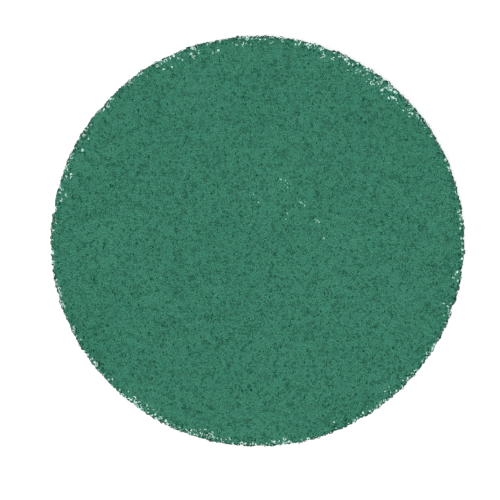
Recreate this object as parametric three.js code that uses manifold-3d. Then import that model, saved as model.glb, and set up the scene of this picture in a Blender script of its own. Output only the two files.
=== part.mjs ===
// Floor polishing pad: one thick round of green nonwoven web, crimped fibres bonded with resin,
// stamped out of a blanket. It is a single piece, so it is a single solid.
// Millimetres, +Z up, with the origin in the middle of the lower face, the one that works the floor.

import * as THREE from "three";
import { mergeVertices } from "three/addons/utils/BufferGeometryUtils.js";
import Module from "manifold-3d";

// The pad
const PAD_DIAMETER = 432;
const PAD_THICKNESS = 25;
const PAD_GREEN = 0x397861;

// The blanket is drawn out a little as it is fed, so the longest diameter of the stamped round is
// this much more than the shortest, and lies at this angle.
const OVAL_DRAW = 3;
const OVAL_ANGLE = THREE.MathUtils.degToRad(-10.4);

// The cut edge is fluffed round above and below.
const EDGE_ROUNDING = 2.5;

// The rim is nibbled back by up to this much at each of its points. This share of a nibble runs
// the full height of the wall, and the rest differs from one height to the next.
const NIBBLE_PITCH = 5;
const NIBBLE_DEPTH = 1.6;
const NIBBLE_THROUGH_SHARE = 0.55;

// A few torn nicks cut in from the rim, the shallowest to this share of the deepest.
const NICK_SPACING = 150;
const NICK_WIDTH = 8;
const NICK_DEPTH = 3.6;
const NICK_SHALLOWEST_SHARE = 0.4;

// Open spots in the web, where no fibre crosses the face, are narrow pits with this many sides.
// Each strays from its place and differs in size by up to these amounts.
const SPOT_SPACING = 27;
const SPOT_STRAY = 11;
const SPOT_WIDTH = 3.4;
const SPOT_DEPTH = 2.6;
const SPOT_SIDES = 6;
const SPOT_UNEVENNESS = 0.4;

// How finely the rounded edges and the wall between them are drawn
const ROUNDING_STEPS = 2;
const WALL_STEPS = 3;
const SAME_POINT = 1e-3;

const FULL_TURN = 2 * Math.PI;
const QUARTER_TURN = Math.PI / 2;
const GOLDEN_ANGLE = Math.PI * (3 - Math.sqrt(5));

// Each kind of draw has its own number, so that no two kinds repeat each other. The nibbles of the
// wall's rings take the numbers from the last one up.
const DRAW = {
  nickPlace: 1,
  nickDepth: 2,
  spotLength: 3,
  spotWidth: 4,
  spotDepth: 5,
  spotTurn: 6,
  spotStrayX: 7,
  spotStrayY: 8,
  nibbleThrough: 9,
  nibbleHere: 10,
};

// A number from 0 to 1 that looks random and is always the same for the same item and draw
function chance(item, draw) {
  const mixed = Math.sin(item * 12.9898 + draw * 78.233) * 43758.5453;
  return mixed - Math.floor(mixed);
}

// The same from -1 to 1
function eitherWay(item, draw) {
  return 2 * chance(item, draw) - 1;
}

const padRadius = PAD_DIAMETER / 2;
const rimPoints = Math.round((Math.PI * PAD_DIAMETER) / NIBBLE_PITCH);
const nickCount = Math.round((Math.PI * PAD_DIAMETER) / NICK_SPACING);
const spotReach = padRadius - EDGE_ROUNDING - NIBBLE_DEPTH - NICK_DEPTH - SPOT_WIDTH;

const wasm = await Module();
wasm.setup();

function solidFrom(geometry) {
  geometry.deleteAttribute("normal");
  geometry.deleteAttribute("uv");
  const merged = mergeVertices(geometry, SAME_POINT);
  const mesh = new wasm.Mesh({
    numProp: 3,
    vertProperties: merged.getAttribute("position").array,
    triVerts: new Uint32Array(merged.index.array),
  });
  return new wasm.Manifold(mesh);
}

function geometryFrom(solid) {
  const mesh = solid.getMesh();
  const shared = new THREE.BufferGeometry();
  shared.setAttribute("position", new THREE.BufferAttribute(mesh.vertProperties, mesh.numProp));
  shared.setIndex(new THREE.BufferAttribute(mesh.triVerts, 1));
  const faceted = shared.toNonIndexed();
  faceted.computeVertexNormals();
  return faceted;
}

// How far the stamped round reaches past a true circle at an angle: a quarter of the draw at most,
// because the draw is a difference of diameters and is shared between long and short.
function ovalReach(angle) {
  return (OVAL_DRAW / 4) * Math.cos(2 * (angle - OVAL_ANGLE));
}

// How far one torn nick cuts in at an angle: all its depth in its middle, and nothing at its ends
function nickCut(angle, nick) {
  const middle = ((nick + chance(nick, DRAW.nickPlace)) * FULL_TURN) / nickCount;
  const turn = Math.abs(Math.atan2(Math.sin(angle - middle), Math.cos(angle - middle)));
  const fromMiddle = (turn * padRadius) / (NICK_WIDTH / 2);
  const depth = NICK_DEPTH * THREE.MathUtils.lerp(NICK_SHALLOWEST_SHARE, 1, chance(nick, DRAW.nickDepth));
  return depth * Math.max(0, 1 - fromMiddle);
}

// How far the rim is eaten back at one of its points, on one ring of the wall. Squaring the chances
// makes shallow nibbles common and deep ones rare.
function rimLoss(point, ring) {
  const angle = (point * FULL_TURN) / rimPoints;
  const through = chance(point, DRAW.nibbleThrough) ** 2;
  const here = chance(point, DRAW.nibbleHere + ring) ** 2;
  let loss = NIBBLE_DEPTH * THREE.MathUtils.lerp(here, through, NIBBLE_THROUGH_SHARE);
  for (let nick = 0; nick < nickCount; nick += 1) {
    loss += nickCut(angle, nick);
  }
  return loss;
}

// A quarter round of the section, about its own centre, from this turn on
function roundedEdge(startTurn) {
  const points = [];
  for (let step = 0; step <= ROUNDING_STEPS; step += 1) {
    const turn = startTurn + (step / ROUNDING_STEPS) * QUARTER_TURN;
    points.push(new THREE.Vector2(EDGE_ROUNDING * Math.cos(turn), EDGE_ROUNDING * Math.sin(turn)));
  }
  return points;
}

// Half the pad's section, from the middle of the lower face round the rim to the middle of the top
function halfSection() {
  const lowerCentre = new THREE.Vector2(padRadius - EDGE_ROUNDING, EDGE_ROUNDING);
  const upperCentre = new THREE.Vector2(padRadius - EDGE_ROUNDING, PAD_THICKNESS - EDGE_ROUNDING);
  const lowerEdge = roundedEdge(-QUARTER_TURN).map((point) => point.add(lowerCentre));
  const upperEdge = roundedEdge(0).map((point) => point.add(upperCentre));
  const wall = [];
  for (let step = 1; step < WALL_STEPS; step += 1) {
    const height = THREE.MathUtils.lerp(lowerCentre.y, upperCentre.y, step / WALL_STEPS);
    wall.push(new THREE.Vector2(padRadius, height));
  }
  const lowerMiddle = new THREE.Vector2(0, 0);
  const upperMiddle = new THREE.Vector2(0, PAD_THICKNESS);
  return [lowerMiddle, ...lowerEdge, ...wall, ...upperEdge, upperMiddle];
}

// The stamped round: the section turned about the axis, with every rim point then moved in or out
function stampedRound() {
  const section = halfSection();
  const geometry = new THREE.LatheGeometry(section, rimPoints);
  const position = geometry.getAttribute("position");
  for (let index = 0; index < position.count; index += 1) {
    const ring = index % section.length;
    const point = Math.floor(index / section.length) % rimPoints;
    const angle = (point * FULL_TURN) / rimPoints;
    const { x: radius, y: height } = section[ring];
    const moved = radius > 0 ? radius + ovalReach(angle) - rimLoss(point, ring) : 0;
    position.setXYZ(index, moved * Math.cos(angle), moved * Math.sin(angle), height);
  }
  return solidFrom(geometry);
}

// Open spots are spread over a face like the seeds of a sunflower, each strayed from its place.
// The lower face turns the other way, so its spots don't lie under those of the top.
function spotPlace(spot, side) {
  const radius = SPOT_SPACING * Math.sqrt(spot / Math.PI);
  const angle = side * spot * GOLDEN_ANGLE;
  const strayX = SPOT_STRAY * eitherWay(side * spot, DRAW.spotStrayX);
  const strayY = SPOT_STRAY * eitherWay(side * spot, DRAW.spotStrayY);
  return new THREE.Vector2(radius * Math.cos(angle) + strayX, radius * Math.sin(angle) + strayY);
}

// One open spot: a pit as wide as it is at the face, coming to a point inside the web
function openSpot(spot, side) {
  const uneven = (draw) => 1 + SPOT_UNEVENNESS * eitherWay(side * spot, draw);
  const halfLength = (SPOT_WIDTH / 2) * uneven(DRAW.spotLength);
  const halfWidth = (SPOT_WIDTH / 2) * uneven(DRAW.spotWidth);
  const depth = SPOT_DEPTH * uneven(DRAW.spotDepth);
  const place = spotPlace(spot, side);
  const geometry = new THREE.SphereGeometry(1, SPOT_SIDES, 2);
  geometry.rotateX(QUARTER_TURN);
  geometry.scale(halfLength, halfWidth, depth);
  geometry.rotateZ(FULL_TURN * chance(side * spot, DRAW.spotTurn));
  geometry.translate(place.x, place.y, side > 0 ? PAD_THICKNESS : 0);
  return solidFrom(geometry);
}

function pad() {
  let web = stampedRound();
  const spotsOnFace = Math.floor(Math.PI * (spotReach / SPOT_SPACING) ** 2);
  for (const side of [1, -1]) {
    for (let spot = 1; spot <= spotsOnFace; spot += 1) {
      if (spotPlace(spot, side).length() < spotReach) {
        web = web.subtract(openSpot(spot, side));
      }
    }
  }
  const bondedWeb = new THREE.MeshStandardMaterial({ color: PAD_GREEN, roughness: 0.95, metalness: 0 });
  const mesh = new THREE.Mesh(geometryFrom(web), bondedWeb);
  mesh.name = "pad";
  return mesh;
}

const floorPad = new THREE.Group();
floorPad.add(pad());

export default floorPad;
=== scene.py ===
# A floor polishing pad: one thick round of green nonwoven web, seen from straight above.
# Metres, +Z up, with the origin in the middle of the face that lies on the floor.
import math
import random

import bmesh
import bpy
import numpy as np
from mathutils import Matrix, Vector


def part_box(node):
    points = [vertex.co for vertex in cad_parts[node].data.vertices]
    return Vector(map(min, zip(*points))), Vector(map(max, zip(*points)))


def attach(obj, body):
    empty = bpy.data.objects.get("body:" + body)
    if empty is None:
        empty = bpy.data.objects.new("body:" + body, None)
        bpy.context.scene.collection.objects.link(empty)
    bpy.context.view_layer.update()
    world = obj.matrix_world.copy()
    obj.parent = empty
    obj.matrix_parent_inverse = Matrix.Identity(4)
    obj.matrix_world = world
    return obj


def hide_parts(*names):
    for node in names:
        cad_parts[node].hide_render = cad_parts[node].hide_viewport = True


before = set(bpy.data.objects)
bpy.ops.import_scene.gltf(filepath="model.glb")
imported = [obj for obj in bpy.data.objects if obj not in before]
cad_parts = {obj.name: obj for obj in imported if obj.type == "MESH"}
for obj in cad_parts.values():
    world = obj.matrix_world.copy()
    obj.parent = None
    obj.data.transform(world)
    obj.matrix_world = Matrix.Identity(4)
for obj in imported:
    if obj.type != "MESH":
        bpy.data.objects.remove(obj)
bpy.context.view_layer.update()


# The web
# One lofty blanket of crimped nylon fibres, laid at random in near level planes, bonded with green
# resin and stamped out round. It is springy and full of pores. The stamped round, its nicks and
# its open spots come from the frame, and the skin made here roughens them.
MM = 0.001
pad_low, pad_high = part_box("pad")
pad_centre = (pad_low + pad_high) / 2
pad_radius = (pad_high.x - pad_low.x + pad_high.y - pad_low.y) / 4

SAME_POINT = 0.01 * MM
SKIN_GRID = 1.95 * MM
FACE_SINK = 0.45 * MM
RIM_SINK = 0.5 * MM
TUFT_RISE = 0.9 * MM
TUFT_SIZE = 5 * MM
TUFT_FLATNESS = 2.2
WEB_GREEN = "#387D66"
WEB_SHADE = "#155940"
WEB_LIGHT = "#599C84"
# The dark green of the painted shade down the pores
PORE_PAINTED_SHADE = "#003D27"

# Most pores are 1 to 2 mm wide and 3 mm apart, and their colour is darkened as painted shade. They
# are drawn out along Y, as the blanket was fed, and flattened in height, as its layers lie. Single
# fibres give a grain of under 1 mm. Near the rim more of the pores carry deep painted shade.
PORE_SPACING = 2.7 * MM
PORE_STRETCH = (1.4, 0.72, 1.7)
GRAIN_SIZE = 0.6 * MM
GRAIN_STRETCH = (1.0, 0.5, 1.0)
PATCH_SIZE = 60 * MM
PATCH_WEIGHT = 0.05
# How far in from the rim more pores get deep painted shade
RIM_SHADE_BAND = 9 * MM

# Each pore has a cell, warped by a noise of this scale and set this unevenly. It reaches this share
# of its cell, from the least to the most, and its painted shade is full within its throat. The
# darkness of that painted shade is a random draw, raised to a power: the higher the power, the
# rarer the dark ones.
PORE_WANDER = 0.7
PORE_UNEVENNESS = 0.9
PORE_REACH = (0.28, 0.52)
PORE_THROAT = 0.6
PORE_RARENESS = 2.2
RIM_PORE_RARENESS = 0.9

# Where in the grain the tone is the shade, the green and the light
TONE_STOPS = (0.36, 0.52, 0.68)
PORE_RELIEF = 1.5
RELIEF_STRENGTH = 0.4
RELIEF_DEPTH = 0.5 * MM


def linear(hex_colour):
    """An sRGB hex colour as linear red, green, blue and alpha."""
    channels = [int(hex_colour[i : i + 2], 16) / 255 for i in (1, 3, 5)]
    return [c / 12.92 if c <= 0.04045 else ((c + 0.055) / 1.055) ** 2.4 for c in channels] + [1]


def add(tree, kind, settings=None, inputs=None):
    """Adds a node: its own settings, then each input linked to a socket or set to a value."""
    made = tree.nodes.new(kind)
    for name, value in (settings or {}).items():
        setattr(made, name, value)
    for key, value in (inputs or {}).items():
        if isinstance(value, bpy.types.NodeSocket):
            tree.links.new(value, made.inputs[key])
        else:
            made.inputs[key].default_value = value
    return made


def new_tree(name, sockets):
    """A geometry tree that takes and gives geometry, with these named inputs. Returns its ends."""
    tree = bpy.data.node_groups.new(name, "GeometryNodeTree")
    tree.interface.new_socket("Geometry", in_out="OUTPUT", socket_type="NodeSocketGeometry")
    tree.interface.new_socket("Geometry", in_out="INPUT", socket_type="NodeSocketGeometry")
    for socket_name, socket_type in sockets.items():
        tree.interface.new_socket(socket_name, in_out="INPUT", socket_type="NodeSocket" + socket_type)
    return tree, tree.nodes.new("NodeGroupInput").outputs, tree.nodes.new("NodeGroupOutput")


def grown(name, mesh, tree, values):
    """A plain mesh object: what the tree makes of a mesh, with the tree's named inputs set."""
    piece = bpy.data.objects.new(name, mesh)
    bpy.context.scene.collection.objects.link(piece)
    modifier = piece.modifiers.new(tree.name, "NODES")
    modifier.node_group = tree
    for item in tree.interface.items_tree:
        if item.item_type == "SOCKET" and item.in_out == "INPUT" and item.name in values:
            modifier[item.identifier] = values[item.name]
    piece.update_tag()
    bpy.context.view_layer.update()
    evaluated = piece.evaluated_get(bpy.context.evaluated_depsgraph_get())
    plain = bpy.data.meshes.new_from_object(evaluated)
    piece.modifiers.remove(modifier)
    piece.data = plain
    plain.name = name
    return piece


def resin_bonded_web():
    """Nylon web bonded with pigmented resin: matt green, with painted shade down its pores, a little uneven.
    """
    material = bpy.data.materials.new("resin_bonded_web")
    material.use_nodes = True
    tree = material.node_tree
    surface = tree.nodes["Principled BSDF"]
    place = add(tree, "ShaderNodeTexCoord").outputs["Object"]

    # Wandering cells, each with a pore of its own width and depth of painted shade
    in_pores = [stretch / PORE_SPACING for stretch in PORE_STRETCH]
    fed = add(tree, "ShaderNodeVectorMath", {"operation": "MULTIPLY"}, {0: place, 1: in_pores})
    warp = add(
        tree, "ShaderNodeTexNoise", None, {"Vector": fed.outputs[0], "Scale": PORE_WANDER, "Detail": 1.0}
    )
    wandering = add(
        tree,
        "ShaderNodeVectorMath",
        {"operation": "MULTIPLY_ADD"},
        {0: warp.outputs["Color"], 1: [1.0] * 3, 2: fed.outputs[0]},
    )
    cells = add(
        tree,
        "ShaderNodeTexVoronoi",
        {"feature": "F1"},
        {"Vector": wandering.outputs[0], "Scale": 1.0, "Randomness": PORE_UNEVENNESS},
    )
    draw = add(tree, "ShaderNodeSeparateColor", None, {0: cells.outputs["Color"]})
    reach = add(
        tree,
        "ShaderNodeMapRange",
        None,
        {"Value": draw.outputs[0], "To Min": PORE_REACH[0], "To Max": PORE_REACH[1]},
    )
    throat = add(
        tree, "ShaderNodeMath", {"operation": "MULTIPLY"}, {0: reach.outputs[0], 1: PORE_THROAT}
    )
    opening = add(
        tree,
        "ShaderNodeMapRange",
        {"interpolation_type": "SMOOTHSTEP"},
        {
            "Value": cells.outputs["Distance"],
            "From Min": reach.outputs[0],
            "From Max": throat.outputs[0],
            "To Min": 0.0,
        },
    )
    flat_place = add(tree, "ShaderNodeVectorMath", {"operation": "MULTIPLY"}, {0: place, 1: [1, 1, 0]})
    from_axis = add(tree, "ShaderNodeVectorMath", {"operation": "LENGTH"}, {0: flat_place.outputs[0]})
    # Near the rim the pores' painted shade is dark more often
    rareness = add(
        tree,
        "ShaderNodeMapRange",
        None,
        {
            "Value": from_axis.outputs["Value"],
            "From Min": pad_radius - RIM_SHADE_BAND,
            "From Max": pad_radius - RIM_SHADE_BAND / 4,
            "To Min": PORE_RARENESS,
            "To Max": RIM_PORE_RARENESS,
        },
    )
    darkness = add(
        tree, "ShaderNodeMath", {"operation": "POWER"}, {0: draw.outputs[1], 1: rareness.outputs[0]}
    )
    pore = add(
        tree, "ShaderNodeMath", {"operation": "MULTIPLY"}, {0: opening.outputs[0], 1: darkness.outputs[0]}
    )

    # The grain of single fibres, over broad patches that took more resin or less
    in_grains = [stretch / GRAIN_SIZE for stretch in GRAIN_STRETCH]
    fine = add(tree, "ShaderNodeVectorMath", {"operation": "MULTIPLY"}, {0: place, 1: in_grains})
    grain = add(
        tree,
        "ShaderNodeTexNoise",
        None,
        {"Vector": fine.outputs[0], "Scale": 1.0, "Detail": 1.0, "Roughness": 0.5},
    )
    patch = add(tree, "ShaderNodeTexNoise", None, {"Vector": place, "Scale": 1 / PATCH_SIZE, "Detail": 2.0})
    both = add(
        tree,
        "ShaderNodeMath",
        {"operation": "MULTIPLY_ADD"},
        {0: patch.outputs["Fac"], 1: PATCH_WEIGHT, 2: grain.outputs["Fac"]},
    )
    fibre_tone = add(tree, "ShaderNodeValToRGB", None, {0: both.outputs[0]})
    ramp = fibre_tone.color_ramp
    ramp.elements[0].position = TONE_STOPS[0]
    ramp.elements[0].color = linear(WEB_SHADE)
    ramp.elements[1].position = TONE_STOPS[2]
    ramp.elements[1].color = linear(WEB_LIGHT)
    ramp.elements.new(TONE_STOPS[1]).color = linear(WEB_GREEN)
    # Painted shade: down each pore the colour is mixed towards the pore colour, standing in for shade
    coloured = add(
        tree,
        "ShaderNodeMix",
        {"data_type": "RGBA"},
        {0: pore.outputs[0], 6: fibre_tone.outputs[0], 7: linear(PORE_PAINTED_SHADE)},
    )

    height = add(
        tree,
        "ShaderNodeMath",
        {"operation": "MULTIPLY_ADD"},
        {0: pore.outputs[0], 1: -PORE_RELIEF, 2: grain.outputs["Fac"]},
    )
    relief = add(
        tree,
        "ShaderNodeBump",
        None,
        {"Height": height.outputs[0], "Strength": RELIEF_STRENGTH, "Distance": RELIEF_DEPTH},
    )
    tree.links.new(coloured.outputs[2], surface.inputs["Base Color"])
    tree.links.new(relief.outputs[0], surface.inputs["Normal"])
    surface.inputs["Roughness"].default_value = 1.0
    surface.inputs["Specular IOR Level"].default_value = 0.0
    return material


def skin_tree():
    """Roughens a skin into tufts and draws it in: the faces by Face sink, the rim by Rim sink."""
    tree, given, out = new_tree(
        "roughened_skin",
        {
            "Face sink": "Float",
            "Rim sink": "Float",
            "Tuft rise": "Float",
            "Tuft size": "Float",
            "Lowest": "Float",
            "Finish": "Material",
        },
    )
    at = add(tree, "GeometryNodeInputPosition").outputs[0]
    outward = add(tree, "GeometryNodeInputNormal").outputs[0]
    slope = add(tree, "ShaderNodeSeparateXYZ", None, {0: outward})
    level = add(tree, "ShaderNodeMath", {"operation": "ABSOLUTE"}, {0: slope.outputs[2]})
    sink = add(
        tree,
        "ShaderNodeMapRange",
        None,
        {"Value": level.outputs[0], "To Min": given["Rim sink"], "To Max": given["Face sink"]},
    )
    fine = add(tree, "ShaderNodeMath", {"operation": "DIVIDE"}, {0: 1.0, 1: given["Tuft size"]})
    layered = add(
        tree, "ShaderNodeVectorMath", {"operation": "MULTIPLY"}, {0: at, 1: [1, 1, TUFT_FLATNESS]}
    )
    tufts = add(
        tree,
        "ShaderNodeTexNoise",
        None,
        {"Vector": layered.outputs[0], "Scale": fine.outputs[0], "Detail": 2.0, "Roughness": 0.6},
    )
    centred = add(tree, "ShaderNodeMath", {"operation": "SUBTRACT"}, {0: tufts.outputs["Fac"], 1: 0.5})
    lifted = add(
        tree, "ShaderNodeMath", {"operation": "MULTIPLY"}, {0: centred.outputs[0], 1: given["Tuft rise"]}
    )
    rise = add(
        tree, "ShaderNodeMath", {"operation": "SUBTRACT"}, {0: lifted.outputs[0], 1: sink.outputs[0]}
    )
    move = add(tree, "ShaderNodeVectorMath", {"operation": "SCALE"}, {0: outward, "Scale": rise.outputs[0]})
    moved = add(tree, "ShaderNodeVectorMath", {"operation": "ADD"}, {0: at, 1: move.outputs[0]})
    split = add(tree, "ShaderNodeSeparateXYZ", None, {0: moved.outputs[0]})
    above = add(tree, "ShaderNodeMath", {"operation": "MAXIMUM"}, {0: split.outputs[2], 1: given["Lowest"]})
    place = add(
        tree,
        "ShaderNodeCombineXYZ",
        None,
        {0: split.outputs[0], 1: split.outputs[1], 2: above.outputs[0]},
    )
    rough = add(
        tree, "GeometryNodeSetPosition", None, {"Geometry": given["Geometry"], "Position": place.outputs[0]}
    )
    smooth = add(tree, "GeometryNodeSetShadeSmooth", None, {"Geometry": rough.outputs[0]})
    realized = add(tree, "GeometryNodeRealizeInstances", None, {"Geometry": smooth.outputs[0]})
    finished = add(
        tree, "GeometryNodeSetMaterial", None, {"Geometry": realized.outputs[0], "Material": given["Finish"]}
    )
    tree.links.new(finished.outputs[0], out.inputs[0])
    return tree


def stamped_round():
    """The frame's pad as one closed skin of small even faces."""
    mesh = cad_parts["pad"].data.copy()
    joined = bmesh.new()
    joined.from_mesh(mesh)
    bmesh.ops.remove_doubles(joined, verts=joined.verts, dist=SAME_POINT)
    joined.to_mesh(mesh)
    joined.free()
    coarse = bpy.data.objects.new("stamped", mesh)
    bpy.context.scene.collection.objects.link(coarse)
    grid = coarse.modifiers.new("grid", "REMESH")
    grid.mode = "VOXEL"
    grid.voxel_size = SKIN_GRID
    bpy.context.view_layer.update()
    dense = bpy.data.meshes.new_from_object(coarse.evaluated_get(bpy.context.evaluated_depsgraph_get()))
    bpy.data.objects.remove(coarse)
    return dense


# On the map named OFBake, which is 1 wide: how wide the top and the underside are and where
# their middles lie, and where the rim's strips lie and how far apart. A face belongs to the rim where
# it is steep and near the wall.
TOP_WIDTH, TOP_MIDDLE = 0.66, 0.334
LOW_WIDTH, LOW_MIDDLE = 0.46, 0.766
STRIP_MIDDLE, STRIP_START, STRIP_STEP = 0.265, 0.7, 0.055
WALL_UPWARDNESS = 0.6
WALL_BAND = 6 * MM


def lay_flat(mesh):
    """The OFBake map of a skin: its top and its underside as rounds, and its rim as four strips."""
    place = np.empty(3 * len(mesh.vertices))
    mesh.vertices.foreach_get("co", place)
    corner = np.empty(len(mesh.loops), dtype=int)
    mesh.loops.foreach_get("vertex_index", corner)
    sides, normal, middle = (
        np.empty(n * len(mesh.polygons), dtype=kind) for n, kind in ((1, int), (3, float), (3, float))
    )
    mesh.polygons.foreach_get("loop_total", sides)
    mesh.polygons.foreach_get("normal", normal)
    mesh.polygons.foreach_get("center", middle)
    x, y, z = place.reshape(-1, 3)[corner].T
    steep = np.repeat(np.abs(normal.reshape(-1, 3)[:, 2]) < WALL_UPWARDNESS, sides)
    mid_x, mid_y, mid_z = np.repeat(middle.reshape(-1, 3), sides, axis=0).T
    on_rim = steep & (np.hypot(mid_x, mid_y) > pad_radius - WALL_BAND)
    on_top = ~on_rim & (mid_z > pad_centre.z)

    top_scale = TOP_WIDTH / (2 * pad_radius)
    low_scale = LOW_WIDTH / (2 * pad_radius)
    quarter = np.floor((np.arctan2(mid_y, mid_x) + math.pi) / (math.pi / 2)).clip(0, 3)
    quarter_middle = (quarter + 0.5) * math.pi / 2 - math.pi
    round_turn = np.arctan2(y, x) - quarter_middle
    round_turn = (round_turn + math.pi) % (2 * math.pi) - math.pi
    u = np.where(on_top, TOP_MIDDLE + x * top_scale, LOW_MIDDLE - x * low_scale)
    v = np.where(on_top, TOP_MIDDLE + y * top_scale, LOW_MIDDLE + y * low_scale)
    u = np.where(on_rim, STRIP_MIDDLE + round_turn * pad_radius * top_scale, u)
    v = np.where(on_rim, STRIP_START + STRIP_STEP * quarter + z * top_scale, v)
    flat = mesh.uv_layers.new(name="OFBake")
    flat.data.foreach_set("uv", np.stack([u, v], 1).ravel())


web = grown(
    "web",
    stamped_round(),
    skin_tree(),
    {
        "Face sink": FACE_SINK,
        "Rim sink": RIM_SINK,
        "Tuft rise": TUFT_RISE,
        "Tuft size": TUFT_SIZE,
        "Lowest": 0.0,
        "Finish": resin_bonded_web(),
    },
)
lay_flat(web.data)
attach(web, "root")
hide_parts("pad")


# The fibres of the two faces
# Crimped nylon, coated with the same resin. Loops and commas of it stand out of the web all over
# both faces. Those that lie deep are darker as painted shade, and the raised ones lighter as painted
# light. The real fibre is about 0.2 mm thick and is drawn three times as thick here, so that it shows.
FIBRE_THICKNESS = 0.6 * MM
FIBRE_CURL = 1.5 * MM
FIBRE_TILT = math.radians(24)
FIBRE_SPIN = math.radians(100)
FIBRE_SPREAD = (0.6, 1.45)
CRIMP_SIZE = 3.5 * MM
CRIMP_REACH = 3.0 * MM
CRIMP_RANGE = (0.35, 0.65)
FIBRE_LUMPS = (0.65, 1.35)
BEAD_SIZE = 1.4 * MM
BEAD_SHARE = 0.35
DARKEST_TONE = 0.15
LIGHTEST_TONE = 0.85
CLEAR_OF_FLOOR = 0.02 * MM
FLUFF_RISE = 0.8 * MM

# How far each kind of loop sweeps, and how many points it is drawn with
LOOPS = ((80, 4), (140, 5), (200, 7), (285, 9))


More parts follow.
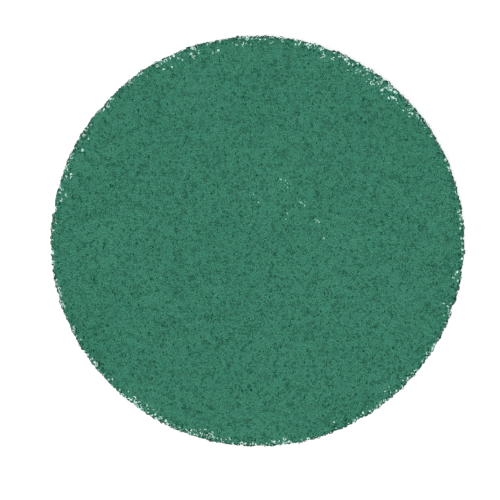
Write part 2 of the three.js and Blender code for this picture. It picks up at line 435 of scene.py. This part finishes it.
def fibre_tree():
    """Curled fibres, scattered over the faces that look up by between Least up and Most up.

    Where Scattered is off there is one at each point of the mesh instead. A loop bulges towards
    its point's heading, give or take the Spin."""
    tree, given, out = new_tree(
        "crimped_fibres",
        {
            "Scattered": "Bool",
            "Density": "Float",
            "Least up": "Float",
            "Most up": "Float",
            "Rise": "Float",
            "Thickness": "Float",
            "Sides": "Int",
            "Curl": "Float",
            "Tilt": "Float",
            "Spin": "Float",
            "Crimp": "Float",
            "Lowest": "Float",
            "Highest": "Float",
            "Seed": "Int",
            "Finish": "Material",
        },
    )
    seed = given["Seed"]
    facing = add(tree, "ShaderNodeSeparateXYZ", None, {0: add(tree, "GeometryNodeInputNormal").outputs[0]})
    above = add(
        tree,
        "FunctionNodeCompare",
        {"operation": "GREATER_THAN"},
        {0: facing.outputs[2], 1: given["Least up"]},
    )
    below = add(
        tree, "FunctionNodeCompare", {"operation": "LESS_THAN"}, {0: facing.outputs[2], 1: given["Most up"]}
    )
    chosen = add(
        tree, "FunctionNodeBooleanMath", {"operation": "AND"}, {0: above.outputs[0], 1: below.outputs[0]}
    )
    scattered = add(
        tree,
        "GeometryNodeDistributePointsOnFaces",
        None,
        {
            "Mesh": given["Geometry"],
            "Selection": chosen.outputs[0],
            "Density": given["Density"],
            "Seed": seed,
        },
    )
    lift = add(
        tree,
        "ShaderNodeVectorMath",
        {"operation": "SCALE"},
        {0: scattered.outputs["Normal"], "Scale": given["Rise"]},
    )
    raised = add(
        tree,
        "GeometryNodeSetPosition",
        None,
        {"Geometry": scattered.outputs["Points"], "Offset": lift.outputs[0]},
    )
    roots = add(
        tree,
        "GeometryNodeSwitch",
        {"input_type": "GEOMETRY"},
        {0: given["Scattered"], 1: given["Geometry"], 2: raised.outputs[0]},
    )

    loops = add(tree, "GeometryNodeGeometryToInstance")
    for sweep, points in LOOPS:
        loop = add(
            tree,
            "GeometryNodeCurveArc",
            {"mode": "RADIUS"},
            {
                "Resolution": points,
                "Radius": given["Curl"],
                "Start Angle": math.radians(-sweep / 2),
                "Sweep Angle": math.radians(sweep),
            },
        )
        tree.links.new(loop.outputs["Curve"], loops.inputs[0])
    which = add(
        tree, "FunctionNodeRandomValue", {"data_type": "INT"}, {4: 0, 5: len(LOOPS) - 1, "Seed": seed}
    )
    swing = add(
        tree, "ShaderNodeCombineXYZ", None, {0: given["Tilt"], 1: given["Tilt"], 2: given["Spin"]}
    )
    draw = add(
        tree,
        "FunctionNodeRandomValue",
        {"data_type": "FLOAT_VECTOR"},
        {0: [-1] * 3, 1: [1] * 3, "Seed": seed},
    )
    swung = add(
        tree, "ShaderNodeVectorMath", {"operation": "MULTIPLY"}, {0: draw.outputs[0], 1: swing.outputs[0]}
    )
    heading = add(tree, "GeometryNodeInputNamedAttribute", {"data_type": "FLOAT"}, {"Name": "heading"})
    ahead = add(tree, "ShaderNodeCombineXYZ", None, {2: heading.outputs["Attribute"]})
    turn = add(tree, "ShaderNodeVectorMath", {"operation": "ADD"}, {0: swung.outputs[0], 1: ahead.outputs[0]})
    turned = add(tree, "FunctionNodeEulerToRotation", None, {0: turn.outputs[0]})
    size = add(
        tree,
        "FunctionNodeRandomValue",
        {"data_type": "FLOAT"},
        {2: FIBRE_SPREAD[0], 3: FIBRE_SPREAD[1], "Seed": seed},
    )
    placed = add(
        tree,
        "GeometryNodeInstanceOnPoints",
        None,
        {
            "Points": roots.outputs[0],
            "Instance": loops.outputs[0],
            "Pick Instance": True,
            "Instance Index": which.outputs[2],
            "Rotation": turned.outputs[0],
            "Scale": size.outputs[1],
        },
    )
    shade = add(tree, "FunctionNodeRandomValue", {"data_type": "FLOAT"}, {2: 0.0, 3: 1.0, "Seed": seed})
    toned = add(
        tree,
        "GeometryNodeStoreNamedAttribute",
        {"data_type": "FLOAT", "domain": "INSTANCE"},
        {"Geometry": placed.outputs[0], "Name": "tone", "Value": shade.outputs[1]},
    )
    strands = add(tree, "GeometryNodeRealizeInstances", None, {"Geometry": toned.outputs[0]})

    at = add(tree, "GeometryNodeInputPosition").outputs[0]
    waves = add(tree, "ShaderNodeTexNoise", None, {"Vector": at, "Scale": 1 / CRIMP_SIZE, "Detail": 1.0})
    centred = add(
        tree, "ShaderNodeVectorMath", {"operation": "SUBTRACT"}, {0: waves.outputs["Color"], 1: [0.5] * 3}
    )
    shifted = add(
        tree, "ShaderNodeVectorMath", {"operation": "SCALE"}, {0: centred.outputs[0], "Scale": given["Crimp"]}
    )
    crimped = add(
        tree, "GeometryNodeSetPosition", None, {"Geometry": strands.outputs[0], "Offset": shifted.outputs[0]}
    )
    lumps = add(
        tree,
        "ShaderNodeMapRange",
        None,
        {
            "Value": waves.outputs[0],
            "From Min": CRIMP_RANGE[0],
            "From Max": CRIMP_RANGE[1],
            "To Min": FIBRE_LUMPS[0],
            "To Max": FIBRE_LUMPS[1],
        },
    )
    uneven = add(
        tree, "GeometryNodeSetCurveRadius", None, {"Curve": crimped.outputs[0], "Radius": lumps.outputs[0]}
    )
    half = add(tree, "ShaderNodeMath", {"operation": "MULTIPLY"}, {0: given["Thickness"], 1: 0.5})
    section = add(
        tree,
        "GeometryNodeCurvePrimitiveCircle",
        {"mode": "RADIUS"},
        {"Resolution": given["Sides"], "Radius": half.outputs[0]},
    )
    tubes = add(
        tree,
        "GeometryNodeCurveToMesh",
        None,
        {"Curve": uneven.outputs[0], "Profile Curve": section.outputs[0], "Fill Caps": True},
    )
    split = add(tree, "ShaderNodeSeparateXYZ", None, {0: at})
    kept = add(
        tree,
        "ShaderNodeClamp",
        None,
        {"Value": split.outputs[2], "Min": given["Lowest"], "Max": given["Highest"]},
    )
    place = add(
        tree,
        "ShaderNodeCombineXYZ",
        None,
        {0: split.outputs[0], 1: split.outputs[1], 2: kept.outputs[0]},
    )
    within = add(
        tree, "GeometryNodeSetPosition", None, {"Geometry": tubes.outputs[0], "Position": place.outputs[0]}
    )
    smooth = add(tree, "GeometryNodeSetShadeSmooth", None, {"Geometry": within.outputs[0]})
    realized = add(tree, "GeometryNodeRealizeInstances", None, {"Geometry": smooth.outputs[0]})
    finished = add(
        tree, "GeometryNodeSetMaterial", None, {"Geometry": realized.outputs[0], "Material": given["Finish"]}
    )
    tree.links.new(finished.outputs[0], out.inputs[0])
    return tree


def coated_nylon(name, dark, light, lightest=LIGHTEST_TONE):
    """Nylon fibre in its coat of resin: matt, each strand lighter or darker than the next.

    Strands with a tone from the lightest up have the light colour in full."""
    material = bpy.data.materials.new(name)
    material.use_nodes = True
    tree = material.node_tree
    surface = tree.nodes["Principled BSDF"]
    tone = add(tree, "ShaderNodeAttribute", {"attribute_name": "tone"})
    place = add(tree, "ShaderNodeTexCoord").outputs["Object"]
    beads = add(tree, "ShaderNodeTexNoise", None, {"Vector": place, "Scale": 1 / BEAD_SIZE, "Detail": 1.0})
    mottled = add(
        tree,
        "ShaderNodeMix",
        {"data_type": "FLOAT"},
        {0: BEAD_SHARE, 2: tone.outputs["Fac"], 3: beads.outputs["Fac"]},
    )
    ramp = add(tree, "ShaderNodeValToRGB", None, {0: mottled.outputs[0]})
    ramp.color_ramp.elements[0].position = DARKEST_TONE
    ramp.color_ramp.elements[0].color = linear(dark)
    ramp.color_ramp.elements[1].position = lightest
    ramp.color_ramp.elements[1].color = linear(light)
    tree.links.new(ramp.outputs[0], surface.inputs["Base Color"])
    surface.inputs["Roughness"].default_value = 1.0
    surface.inputs["Specular IOR Level"].default_value = 0.0
    return material


crimped_fibres = fibre_tree()
# The deep coat is darker as painted shade and the raised one lighter as painted light
shaded_deep_nylon = coated_nylon("coated_nylon_deep_painted_shade", "#1E6048", "#387D66")
lit_raised_nylon = coated_nylon("coated_nylon_raised_painted_light", "#30765D", "#549681")
under_nylon = coated_nylon("coated_nylon_under", "#23674F", "#508F79")

# The least and the most that the skin looks up where these fibres grow
UPWARD = (0.62, 2.0)
DOWNWARD = (-2.0, -0.62)

# Each layer's name, side, fibres to a square metre, rise, seed and finish
layers = (
    ("deep_fibres", UPWARD, 35000, 0.1 * MM, 5, shaded_deep_nylon),
    ("raised_fibres", UPWARD, 35000, 0.4 * MM, 6, lit_raised_nylon),
    ("under_fibres", DOWNWARD, 24000, 0.2 * MM, 7, under_nylon),
)
for name, (least_up, most_up), density, rise, seed, finish in layers:
    layer = grown(
        name,
        web.data,
        crimped_fibres,
        {
            "Scattered": True,
            "Density": density,
            "Least up": least_up,
            "Most up": most_up,
            "Rise": rise,
            "Thickness": FIBRE_THICKNESS,
            "Sides": 3,
            "Curl": FIBRE_CURL,
            "Tilt": FIBRE_TILT,
            "Spin": FIBRE_SPIN,
            "Crimp": CRIMP_REACH,
            "Lowest": CLEAR_OF_FLOOR,
            "Highest": pad_high.z + FLUFF_RISE,
            "Seed": seed,
            "Finish": finish,
        },
    )
    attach(layer, "root")


# The cut rim
# The stamp shears the web, so its wall bristles with cut ends and short sprung loops that lie in
# level layers. Their coat is painted darker and greyer than on the faces, as shade for the wall.
RIM_CURL = 1.15 * MM
RIM_DENSITY = 130000
RIM_TILT = math.radians(32)
RIM_INSET = 0.4 * MM
RIM_RISE = 0.3 * MM
WALLWARD = (-0.8, 0.8)

# A darker, greyer coat for the wall: painted shade
rim_shaded_nylon = coated_nylon("coated_nylon_rim_painted_shade", "#153F30", "#42806A")
rim_fibres = grown(
    "rim_fibres",
    web.data,
    crimped_fibres,
    {
        "Scattered": True,
        "Density": RIM_DENSITY,
        "Least up": WALLWARD[0],
        "Most up": WALLWARD[1],
        "Rise": -RIM_INSET,
        "Thickness": FIBRE_THICKNESS,
        "Sides": 3,
        "Curl": RIM_CURL,
        "Tilt": RIM_TILT,
        "Spin": math.pi,
        "Crimp": CRIMP_REACH / 2,
        "Lowest": CLEAR_OF_FLOOR,
        "Highest": pad_high.z + RIM_RISE,
        "Seed": 8,
        "Finish": rim_shaded_nylon,
    },
)
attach(rim_fibres, "root")


# Sprung loops
# Longer loops stand clear of the wall all the way round and bulge outwards, so the outline is
# lacy: a dark broken line of arcs with light behind them. Their near black coat is painted shade.
SPRUNG_COUNT = 1800
SPRUNG_CURL = 1.6 * MM
SPRUNG_THICKNESS = 0.75 * MM
SPRUNG_INSET = (0.9 * MM, 2.2 * MM)
SPRUNG_SWING = math.radians(35)
SPRUNG_TILT = math.radians(12)
SPRUNG_MARGIN = 1.5 * MM
SPRUNG_MOSTLY_BELOW_TOP = 2 * MM


def points_mesh(name, points, headings=()):
    """Loose points, each with the way that its fibre faces."""
    mesh = bpy.data.meshes.new(name)
    mesh.from_pydata(points, [], [])
    if headings:
        heading = mesh.attributes.new("heading", "FLOAT", "POINT")
        heading.data.foreach_set("value", headings)
    return mesh


def rim_radius(angle, height=pad_centre.z):
    """How far the skin's wall is from the axis, in a direction and at a height."""
    outward = Vector((math.cos(angle), math.sin(angle), 0))
    start = outward * 2 * pad_radius + Vector((0, 0, height))
    hit, place, _, _ = web.ray_cast(start, -outward)
    return place.xy.length if hit else pad_radius


def face_height(x, y):
    """The height of the top skin over a place."""
    hit, place, _, _ = web.ray_cast(Vector((x, y, 2 * pad_high.z)), Vector((0, 0, -1)))
    return place.z if hit else pad_high.z


bpy.context.view_layer.update()
rng = random.Random(11)
sprung_places = []
sprung_headings = []
for _ in range(SPRUNG_COUNT):
    angle = rng.uniform(-math.pi, math.pi)
    radius = rim_radius(angle) + RIM_SINK - rng.uniform(*SPRUNG_INSET)
    highest = pad_high.z - SPRUNG_MARGIN
    height = rng.triangular(SPRUNG_MARGIN, highest, pad_high.z - SPRUNG_MOSTLY_BELOW_TOP)
    sprung_places.append((radius * math.cos(angle), radius * math.sin(angle), height))
    sprung_headings.append(angle)
sprung_loops = grown(
    "sprung_loops",
    points_mesh("sprung_places", sprung_places, sprung_headings),
    crimped_fibres,
    {
        "Scattered": False,
        "Thickness": SPRUNG_THICKNESS,
        "Sides": 4,
        "Curl": SPRUNG_CURL,
        "Tilt": SPRUNG_TILT,
        "Spin": SPRUNG_SWING,
        "Crimp": CRIMP_REACH / 4,
        "Lowest": CLEAR_OF_FLOOR,
        "Highest": pad_high.z + RIM_RISE,
        "Seed": 9,
        # A near black coat: painted shade of the rim's outline
        "Finish": coated_nylon("coated_nylon_sprung_painted_shade", "#103126", "#386553"),
    },
)
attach(sprung_loops, "root")


# The bare fibres and the dark bits of painted shade
# Where the cut edge and a few places near the middle are rubbed, the resin has come off and the
# white nylon shows, larger at the edge than on the face. Between, all along the edge, lie short dark
# bits of fibre whose colour is painted shade for the gaps there. They too are drawn thicker than real.
BARE_PROUD = 0.3 * MM
BARE_RISE = 0.9 * MM
BARE_LEAST_DEPTH = 1.4
# How many dark bits of painted shade lie along the edge, and how many millimetres deep they reach
SHADE_SPECK_COUNT = 480
SHADE_SPECK_REACH = 7

# Pale flecks on the wall lie a little sunk in its fibres. The higher the power that their draws are
# raised to, the more they gather near the top, and those of the face near the rim.
WALL_COUNT = 340
WALL_SUNK = 0.6 * MM
WALL_MARGIN = 1.5 * MM
TOWARDS_TOP = 1.6
TOWARDS_RIM = 1.4
BARE_LIGHTEST_TONE = 0.68

# Along the rim: the middle of a patch and its span in degrees, how many fibres it has, and how many
# millimetres deep they reach
EDGE_RUBS = (
    (180, 360, 260, 2.2),
    (20, 36, 20, 3),
    (45, 12, 32, 12),
    (56, 12, 46, 11),
    (66, 10, 21, 11),
    (82, 22, 42, 5),
    (98, 14, 20, 11),
    (114, 14, 24, 11),
    (128, 10, 8, 8),
    (162, 30, 32, 10),
    (193, 10, 6, 4),
    (215, 20, 10, 5),
    (235, 12, 24, 7),
    (247, 14, 17, 8),
    (257, 10, 24, 8),
    (270, 20, 11, 5),
    (305, 24, 24, 9),
    (345, 14, 14, 9),
)

# Near the middle, in millimetres: where a patch is, how far it spreads, and how many fibres it has
FACE_RUBS = (
    (2, 48, 9, 6),
    (29, 58, 7, 8),
    (46, 39, 7, 9),
    (31, 29, 6, 4),
    (62, 21, 2.4, 7),
    (70, 3, 2, 3),
)


def bare_nylon(name, dull, bright):
    """Undyed nylon fibre with little resin left: milky with a green cast, and satin."""
    material = coated_nylon(name, dull, bright, BARE_LIGHTEST_TONE)
    surface = material.node_tree.nodes["Principled BSDF"]
    surface.inputs["Roughness"].default_value = 0.5
    surface.inputs["Specular IOR Level"].default_value = 0.2
    return material


def near_rim(middle, span, count, reach):
    """Random places on the top face: this many over an arc in degrees, and this deep from the rim."""
    places = []
    for _ in range(count):
        angle = math.radians(middle + span * (rng.random() - 0.5))
        depth = BARE_LEAST_DEPTH + reach * rng.random() ** TOWARDS_RIM
        radius = rim_radius(angle) + RIM_SINK - depth * MM
        x, y = radius * math.cos(angle), radius * math.sin(angle)
        places.append((x, y, face_height(x, y) + BARE_PROUD))
    return places


edge_places = [place for rub in EDGE_RUBS for place in near_rim(*rub)]
for _ in range(WALL_COUNT):
    angle = rng.uniform(-math.pi, math.pi)
    height = pad_high.z - WALL_MARGIN - (pad_high.z - 2 * WALL_MARGIN) * rng.random() ** TOWARDS_TOP
    radius = rim_radius(angle, height) - WALL_SUNK
    edge_places.append((radius * math.cos(angle), radius * math.sin(angle), height))
face_places = []
for middle_x, middle_y, spread, count in FACE_RUBS:
    for _ in range(count):
        x = rng.gauss(middle_x, spread / 2) * MM
        y = rng.gauss(middle_y, spread / 2) * MM
        face_places.append((x, y, face_height(x, y) + BARE_PROUD))
shade_speck_places = near_rim(0, 360, SHADE_SPECK_COUNT, SHADE_SPECK_REACH)

# Along the edge, every other place has a thin strand, seen as a comma or an arc, and the rest have
# a thick cut end, seen as a dot.
strand_nylon = bare_nylon("bare_nylon_strands", "#4AA285", "#DCFFF5")
end_nylon = bare_nylon("bare_nylon_ends", "#388266", "#DCFFF5")
face_nylon = bare_nylon("bare_nylon_face", "#43917A", "#B6F5DF")
# A near black coat: painted shade for the gaps along the edge
painted_gap_shade = coated_nylon("painted_gap_shade", "#00301E", "#1E6349")

# Each kind's name, places, thickness, curl, seed and finish
short_bits = (
    ("bare_fibres_edge", edge_places[::2], 0.9 * MM, 1.05 * MM, 10, strand_nylon),
    ("bare_ends_edge", edge_places[1::2], 1.4 * MM, 0.6 * MM, 14, end_nylon),
    ("bare_fibres_face", face_places, 0.95 * MM, 0.45 * MM, 12, face_nylon),
    ("painted_shade_specks", shade_speck_places, 0.75 * MM, 0.6 * MM, 13, painted_gap_shade),
)
for name, places, thickness, curl, seed, finish in short_bits:
    bits = grown(
        name,
        points_mesh(name, places),
        crimped_fibres,
        {
            "Scattered": False,
            "Thickness": thickness,
            "Sides": 4,
            "Curl": curl,
            "Tilt": FIBRE_TILT / 2,
            "Spin": math.pi,
            "Crimp": CRIMP_REACH / 3,
            "Lowest": CLEAR_OF_FLOOR,
            "Highest": pad_high.z + BARE_RISE,
            "Seed": seed,
            "Finish": finish,
        },
    )
    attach(bits, "root")


# The floor, the light and the camera
# A pale floor, one broad lamp nearly overhead and an even white room, with the camera straight
# above the pad and far off.
FRAME_PIXELS = 500
PAD_PIXELS_WIDE = 412.9
PAD_PIXEL = (257.6, 241.05)
METRES_PER_PIXEL = 2 * pad_radius / PAD_PIXELS_WIDE
LENS = 100
SENSOR = 36
FLOOR_HALF = 6
FLOOR_PAINT = "#E6E6E6"
FLOOR_LIFT = 0.5
ROOM_LIGHT = 0.72
LAMP_STRENGTH = 1.0
LAMP_WIDTH = math.radians(35)
LAMP_LEAN = (math.radians(16), math.radians(-14), 0)


def seen_directly(tree):
    """1 where the camera sees a surface, straight or through gloss or glass, and 0 elsewhere."""
    path = add(tree, "ShaderNodeLightPath")
    seen = path.outputs["Is Camera Ray"]
    for other in ("Is Glossy Ray", "Is Transmission Ray"):
        either = add(tree, "ShaderNodeMath", {"operation": "MAXIMUM"}, {0: seen, 1: path.outputs[other]})
        seen = either.outputs[0]
    return seen


def pale_floor():
    """Smooth painted board: even and near white, so it shows little but the pad's own shadow."""
    material = bpy.data.materials.new("pale_floor")
    material.use_nodes = True
    tree = material.node_tree
    surface = tree.nodes["Principled BSDF"]
    surface.inputs["Base Color"].default_value = linear(FLOOR_PAINT)
    surface.inputs["Roughness"].default_value = 0.8
    surface.inputs["Specular IOR Level"].default_value = 0.0
    surface.inputs["Emission Color"].default_value = (1, 1, 1, 1)
    lift = add(tree, "ShaderNodeMath", {"operation": "MULTIPLY"}, {0: seen_directly(tree), 1: FLOOR_LIFT})
    tree.links.new(lift.outputs[0], surface.inputs["Emission Strength"])
    return material


floor_mesh = bpy.data.meshes.new("floor")
corners = [(-FLOOR_HALF, -FLOOR_HALF, 0), (FLOOR_HALF, -FLOOR_HALF, 0)]
corners += [(FLOOR_HALF, FLOOR_HALF, 0), (-FLOOR_HALF, FLOOR_HALF, 0)]
floor_mesh.from_pydata(corners, [], [(0, 1, 2, 3)])
floor = bpy.data.objects.new("floor", floor_mesh)
floor.data.materials.append(pale_floor())
bpy.context.scene.collection.objects.link(floor)

world = bpy.data.worlds.new("white_room")
bpy.context.scene.world = world
world.use_nodes = True
room = world.node_tree
room.nodes.clear()
light = add(room, "ShaderNodeBackground", None, {"Color": (1, 1, 1, 1), "Strength": ROOM_LIGHT})
white = add(room, "ShaderNodeBackground", None, {"Color": (1, 1, 1, 1), "Strength": 1.0})
mixed = add(
    room, "ShaderNodeMixShader", None, {0: seen_directly(room), 1: light.outputs[0], 2: white.outputs[0]}
)
add(room, "ShaderNodeOutputWorld", None, {"Surface": mixed.outputs[0]})

lamp_data = bpy.data.lights.new("broad_lamp", "SUN")
lamp_data.energy = LAMP_STRENGTH
lamp_data.angle = LAMP_WIDTH
lamp = bpy.data.objects.new("broad_lamp", lamp_data)
lamp.rotation_euler = LAMP_LEAN
bpy.context.scene.collection.objects.link(lamp)

camera_data = bpy.data.cameras.new("camera")
camera_data.lens = LENS
camera_data.sensor_width = SENSOR
camera = bpy.data.objects.new("camera", camera_data)
aim_x = pad_centre.x - (PAD_PIXEL[0] - FRAME_PIXELS / 2) * METRES_PER_PIXEL
aim_y = pad_centre.y - (FRAME_PIXELS / 2 - PAD_PIXEL[1]) * METRES_PER_PIXEL
camera.location = (aim_x, aim_y, pad_high.z + FRAME_PIXELS * METRES_PER_PIXEL * LENS / SENSOR)
bpy.context.scene.collection.objects.link(camera)
bpy.context.scene.camera = camera
bpy.context.scene.view_settings.view_transform = "Standard"
